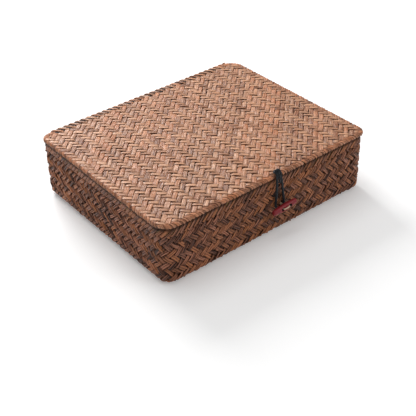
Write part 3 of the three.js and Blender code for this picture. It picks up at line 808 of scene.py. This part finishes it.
# Lid hem: the lid's strands rolled over its cane on the front and both sides. Each lies over the next.
# Painted shade lies low on the roll and a painted highlight along its top.
lid_outline = outline_table(lid_half_width, lid_front, base_back, lid_wide_corner, lid_tight_corner)
lid_edge = profile_table(np.concatenate([
    [[9.0, lid_bottom + 1.4]], arc_points(2.75, lid_bottom + 2.75, 2.2, 270, 90, 20),
    [[5.6, lid_height - 0.9], [8.2, lid_height - 2.2]],
]))


def lid_painted_shading(place):
    """Painted shade low on the roll and a painted highlight along its top, with the painted shade reaching
    higher on the left, and painted shade again under the hinge's wraps. Each is a table over the height,
    and the places are straight slopes."""
    left = np.clip((-place[:, 0] - 127) / 5, 0, 1)
    above = place[:, 2] - lid_bottom
    front = (1 - left) * np.interp(above, (0.5, 1.0, 1.4, 2.0, 2.9, 4.3), (0.5, 0.95, 0.8, 0.25, 0.0, -0.9))
    front += left * np.interp(above, (0.5, 1.0, 2.0, 2.5, 3.0, 3.4), (0.5, 0.95, 0.85, 0.5, 0.0, -0.9))
    behind = np.clip((place[:, 1] - 98) / 2, 0, 1) * np.clip((119 - np.abs(place[:, 0])) / 3, 0, 1)
    return np.maximum(front, 1.1 * behind * np.clip(above - 2.2, 0, 1))


roll_grass = grass_finish("roll_seagrass", (0.12, 0.04, 0.02), (0.7, 0.33, 0.19), (0.62, 0.23, 0.1),
                          specular=0.25, painted_shading=0.85, edge=0.25)
lid_wraps = wrap_band("lid_wraps", lid_outline, lid_edge, pitch_count=254, slant=-0.75, width=3.4, seed=81,
                      levels=34, shaded=lid_painted_shading, tilt=0.2, thickness=0.6, spread=0.12)
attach(lid_wraps, "lid")
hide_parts("lid_hem")
lid_wraps.data.materials.append(roll_grass)

# Hinge strip: strands wrapped over the lid's back edge at a slant and carried down the back wall, over
# lengthwise strands in the grooves between them, which painted shade darkens more towards the top.
strip_back = 111.0
strip_half = 121.0
wrap_run = 244.0
wrap_spacing = 7.2
wrap_lean = 0.65
wrap_levels = 40
core_half = 119.0
core_below = 12.0
core_rows = 9
core_steps = 120
core_spacing = 2.6
core_sunk = 0.75
strip_profile = profile_table(np.concatenate([
    [[2.0, rim_top - 15.2], [1.3, rim_top - 14.2], [0.8, rim_top - 12.8]],
    arc_points(2.8, lid_height - 2.4, 2.0, 180, 90, 10),
    [[8.5, lid_height], [10.4, lid_height - 0.3], [12.0, lid_height - 1.8]],
]))
strip_length = strip_profile[0, -1]


def on_strip(x, up, lift=0.0):
    """Points and directions of the strip's surface at x and at the distance up its profile, lifted off it
    along its outward direction."""
    inset, height, out, rise = (np.interp(up, strip_profile[0], row) for row in strip_profile[1:])
    direction = np.stack([np.zeros_like(out), out, rise], axis=1)
    return np.stack([x, strip_back - inset, height], axis=1) + lift * direction, direction


wrap_numbers = np.arange(int((wrap_run + wrap_lean * strip_length) / wrap_spacing))
wrap_up, wrap_start = np.meshgrid(np.linspace(0, strip_length, wrap_levels), wrap_numbers * wrap_spacing)
wrap_x = (strip_half - (wrap_start - wrap_lean * wrap_up)).ravel()
wrap_place, wrap_direction = on_strip(wrap_x, wrap_up.ravel())
wrap_kept = np.abs(wrap_x) < strip_half
hinge_wraps = grow_strands("hinge_wraps", wrap_place[wrap_kept], wrap_direction[wrap_kept],
                           np.repeat(wrap_numbers, wrap_levels)[wrap_kept], width=3.3, seed=91,
                           thickness=1.5, tone=0.6, spread=0.2)
core_x, core_up = np.meshgrid(np.linspace(-core_half, core_half, core_steps),
                              strip_profile[0, 3] - core_below + core_spacing * np.arange(core_rows))
core_place, core_direction = on_strip(core_x.ravel(), core_up.ravel(), -core_sunk)
core_height = core_place[:, 2] + core_sunk * core_direction[:, 2]
# Painted shade on the core, from 0.4 at 56 mm high to 1.1 at 70 mm.
hinge_core = grow_strands("hinge_core", core_place, core_direction,
                          np.repeat(np.arange(core_rows), core_steps), width=2.9, seed=93, thickness=0.7,
                          section=plain_section, painted_shading=np.interp(core_height, (56, 70), (0.4, 1.1)))
for piece, grass in ((hinge_wraps, lid_grass), (hinge_core, hem_grass)):
    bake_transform(piece)
    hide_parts("hinge_strip")
    piece.data.materials.append(grass)

# Loop knot and loop tail: the cord's two ends tied round each other into a ball on the lid's edge, with one
# turn passing over to the right leg and one trimmed end hanging between the legs. The other end is the tail,
# which goes into the hem behind.
cord_sides = 20


def braided(radius, plaits=4, lay_length=8.0, relief=0.13):
    """Reach of a braided cord: the radius, swelling where a strand of either slant comes to the top. Each
    slant is a wave of the angle plus or minus the travel, and the two take turns in a checker."""
    def reach(angle, travel):
        turns = travel * np.pi * plaits / lay_length
        right, left = np.cos(plaits * angle + turns), np.cos(plaits * angle - turns)
        return radius * (1 - relief + relief * np.maximum(right, left))
    return reach


waxed, waxed_tree, waxed_shader = new_material(
    "waxed_cord", Specular_IOR_Level=0.3, Sheen_Weight=0.1, Sheen_Tint=(0.6, 0.75, 1.0, 1))
waxed_fibre = grain_noise(waxed_tree, attribute(waxed_tree, "lay", "Vector"), 1.2, 3.0, 0.0)
feed(waxed_tree, waxed_shader,
     Base_Color=blend_colour(waxed_tree, waxed_fibre, (0.002, 0.0025, 0.003, 1), (0.012, 0.015, 0.018, 1)),
     Roughness=maths(waxed_tree, "MULTIPLY_ADD", waxed_fibre, 0.3, 0.38),
     Normal=bumped(waxed_tree, waxed_fibre, 0.0002))

knot_middle = np.array([5.6, -110.4, 76.0])
knot_turn = np.linspace(0, 2 * np.pi, 121)
knot_right = np.array([0.86, -0.3, 0.41])
knot_out = np.array([-0.3, -0.75, 0.55])
knot_out -= knot_right * (knot_out @ knot_right) / (knot_right @ knot_right)
knot_right, knot_out = knot_right / np.linalg.norm(knot_right), knot_out / np.linalg.norm(knot_out)
knot_up = np.cross(knot_out, knot_right)
knot_path = knot_middle + (
    np.outer(2.7 * (np.sin(knot_turn) + 2 * np.sin(2 * knot_turn)) / 3, knot_right)
    + np.outer(2.15 * (np.cos(knot_turn) - 2 * np.cos(2 * knot_turn)) / 3, knot_up)
    - np.outer(1.25 * np.sin(3 * knot_turn), knot_out))
knot_pieces = [
    round_strand("knot_turns", knot_path, 260, cord_sides, braided(1.2), about=knot_middle + 0.01)]
for name, steps, radius, points in (
    ("knot_shoulder", 90, 1.15, [(4.2, -110.2, 77.6), (5.7, -110.8, 78.3), (7.3, -111.5, 77.9),
                                 (8.5, -112.3, 76.4), (9.0, -112.9, 74.2), (9.15, -113.1, 71.8),
                                 (9.2, -113.2, 70.2)]),
    ("knot_end", 70, 1.12, [(6.0, -111.4, 74.6), (6.5, -113.2, 72.2), (6.8, -113.9, 70.0),
                            (7.0, -113.9, 67.4), (7.2, -113.6, 64.2)]),
    ("knot_tail", 80, 1.1, [(5.6, -110.0, 75.6), (5.6, -108.6, 74.9), (5.6, -107.5, 73.8),
                            (5.6, -107.0, 72.0), (5.6, -106.6, 69.5)]),
    ("knot_neck", 40, 1.26, [(4.3, -112.55, 73.2), (4.3, -112.4, 74.2), (4.6, -111.7, 75.3),
                             (5.4, -110.7, 76.2)]),
):
    knot_pieces.append(round_strand(name, smooth_path(points), steps, cord_sides, braided(radius)))
for piece in knot_pieces:
    piece.data.materials.append(waxed)
    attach(piece, "lid")
    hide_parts("loop_tail" if piece is knot_pieces[3] else "loop_knot")

# Closure loop: a limp waxed cord, braided. It leaves the knot, passes behind the toggle and comes back, so
# that the toggle holds the lid shut.
loop_points = np.array([
    [-8.48, -1.53, 0.5], [-8.72, -2, -0.62], [-8.86, -2.27, -1.9], [-8.87, -2.35, -3.4],
    [-8.75, -2.2, -5.5], [-8.65, -2, -7.5], [-8.2, -1.4, -13.5], [-7.7, -0.6, -21], [-7.3, 0.1, -28.5],
    [-7.15, 0.8, -33.5], [-7.15, 1, -37.4], [-6.39, 1, -40.22], [-4.32, 1, -42.29], [-1.5, 1, -43.05],
    [1.33, 1, -42.29], [3.39, 1, -40.22], [4.15, 1, -37.4], [3.75, 0.8, -34.2], [2.9, 0.4, -31.2],
    [1.2, -0.5, -25.3], [-0.5, -1.3, -17.1], [-1.9, -1.8, -10.5], [-2.7, -2.1, -7], [-3.2, -2.2, -5],
    [-3.65, -2.25, -3.2], [-4.15, -2.1, -1.8], [-4.75, -1.75, -0.55], [-5.4, -1.2, 0.49],
]) + [12.8, -111.0, 73.0]
loop_path = smooth_path(loop_points)
loop = round_strand("loop_cord", loop_path, 480, cord_sides, braided(1.28))
loop.data.materials.append(waxed)
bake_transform(loop)
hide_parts("closure_loop")

# Floor and light: a pale floor under a wide soft light from above and behind, with a weaker one from the
# front. The floor glows a little where it is seen or mirrored.
floor_mesh = bpy.data.meshes.new("floor")
floor_mesh.from_pydata([(-6, -6, 0), (6, -6, 0), (6, 6, 0), (-6, 6, 0)], [], [(0, 1, 2, 3)])
floor = placed("floor", floor_mesh)
floor_look, floor_tree, floor_shader = new_material(
    "pale_floor", Base_Color=(0.9, 0.9, 0.9, 1), Roughness=0.9, Emission_Color=(1, 1, 1, 1))
ray = add_node(floor_tree, "LightPath").outputs
floor_seen = maths(floor_tree, "ADD", ray["Is Camera Ray"],
                   maths(floor_tree, "ADD", ray["Is Glossy Ray"], ray["Is Transmission Ray"]))
feed(floor_tree, floor_shader, Emission_Strength=maths(floor_tree, "MULTIPLY", floor_seen, 0.2))
floor_mesh.materials.append(floor_look)

world = bpy.data.worlds.new("studio")
bpy.context.scene.world = world
world.use_nodes = True
world.node_tree.nodes["Background"].inputs[0].default_value = (1, 1, 1, 1)
world.node_tree.nodes["Background"].inputs[1].default_value = 0.4


def soft_light(name, place, target, size, power):
    """A square lamp at a place, turned towards a target."""
    lamp = bpy.data.lights.new(name, "AREA")
    lamp.size = size
    lamp.energy = power
    aim = np.array(place, dtype=float) - np.array(target, dtype=float)
    aim /= np.linalg.norm(aim)
    sideways = np.cross([0.02, 1.0, 0.03], aim)
    sideways /= np.linalg.norm(sideways)
    over = np.cross(aim, sideways)
    rows = [[sideways[k], over[k], aim[k], place[k]] for k in range(3)] + [[0, 0, 0, 1]]
    placed(name, lamp).matrix_world = Matrix(rows)


soft_light("back_window", (0.12, 1.15, 0.85), (-0.05, 0.05, 0.05), 0.6, 16)
soft_light("overhead", (-0.15, 0.2, 1.15), (-0.1, 0, 0.05), 0.7, 3.6)
soft_light("front_fill", (0.8, -1.3, 0.8), (0, 0, 0.03), 0.9, 4.4)

bpy.context.scene.view_settings.view_transform = "Standard"
